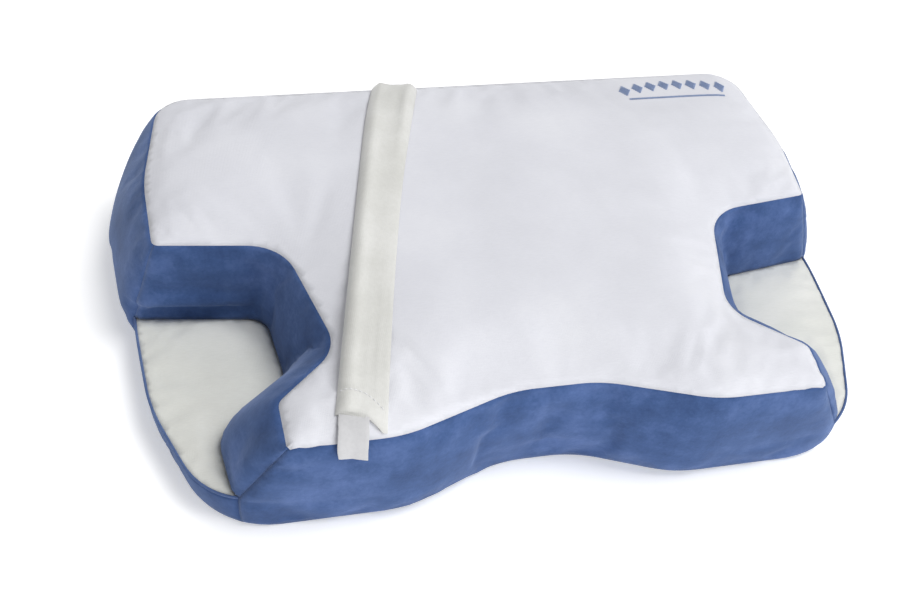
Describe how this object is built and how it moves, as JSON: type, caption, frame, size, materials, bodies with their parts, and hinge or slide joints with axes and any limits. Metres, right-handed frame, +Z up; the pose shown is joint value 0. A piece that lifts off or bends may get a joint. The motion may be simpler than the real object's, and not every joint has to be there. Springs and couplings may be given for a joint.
{
  "type": "contoured side-sleeper therapy pillow",
  "caption": "Contoured foam side-sleeper pillow with side recesses and ledges, a neck scallop, a zipped fabric cover and a padded tether strap over the top.",
  "frame": {"origin": "under the centre of the whole pillow's box, on the surface it rests on", "axes": "+Z up, +X along the long side to the user's right, -Y towards the neck side with the scallop"},
  "size_m": [0.5304, 0.3324, 0.112],
  "materials": {
    "foam": "satin",
    "fibre": "satin",
    "white_cotton": "matte",
    "ledge_cotton": "matte",
    "blue_velour": "matte",
    "blue_piping": "matte",
    "zipper_tape": "matte",
    "zipper_coil": "satin",
    "zipper_metal": "satin",
    "tether_knit": "matte",
    "webbing": "matte",
    "hook_and_loop": "matte",
    "thread": "satin"
  },
  "bodies": {
    "root": {"base_foam": "foam", "height_layer_lower": "foam", "height_layer_upper": "foam", "core_foam": "foam", "top_fibre_pad": "fibre", "top_panel": "white_cotton", "bottom_panel": "white_cotton", "front_gusset": "blue_velour", "right_side_gusset": "blue_velour", "left_side_gusset": "blue_velour", "right_recess_wall": "blue_velour", "left_recess_wall": "blue_velour", "right_ledge_band": "blue_velour", "left_ledge_band": "blue_velour", "right_ledge_panel": "ledge_cotton", "left_ledge_panel": "ledge_cotton", "right_ledge_piping": "blue_piping", "left_ledge_piping": "blue_piping", "back_gusset_upper": "blue_velour", "back_gusset_lower": "blue_velour", "zipper_tape_upper": "zipper_tape", "zipper_tape_lower": "zipper_tape", "zipper_coil_upper": "zipper_coil", "zipper_coil_lower": "zipper_coil", "zipper_stops": "zipper_coil", "tether_anchor": "tether_knit", "front_loop_patch": "hook_and_loop", "corner_embroidery": "thread"},
    "tether_strap": {"tether_sleeve": "tether_knit", "tether_padding": "fibre"},
    "tether_tab": {"tether_tab": "webbing", "tab_hook_patch": "hook_and_loop"},
    "zipper_slider": {"zipper_slider": "zipper_metal"},
    "zipper_pull": {"zipper_pull": "zipper_metal"}
  },
  "joints": [
    {"name": "tether_lift", "type": "hinge", "parent": "root", "child": "tether_strap", "pos_m": [-0.05, 0.158, 0.10271], "axis": [-1, 0, 0], "range_deg": [0, 175]},
    {"name": "tab_lift", "type": "hinge", "parent": "tether_strap", "child": "tether_tab", "pos_m": [-0.129, -0.1553, 0.0918], "axis": [-1, 0, 0], "range_deg": [0, 90]},
    {"name": "zipper_slide", "type": "slide", "parent": "root", "child": "zipper_slider", "axis": [-1, 0, 0], "range_m": [0, 0.312]},
    {"name": "pull_swing", "type": "hinge", "parent": "zipper_slider", "child": "zipper_pull", "pos_m": [0.156, 0.16431, 0.05267], "axis": [0, 0.1809, -0.9835], "range_deg": [0, 180]}
  ]
}
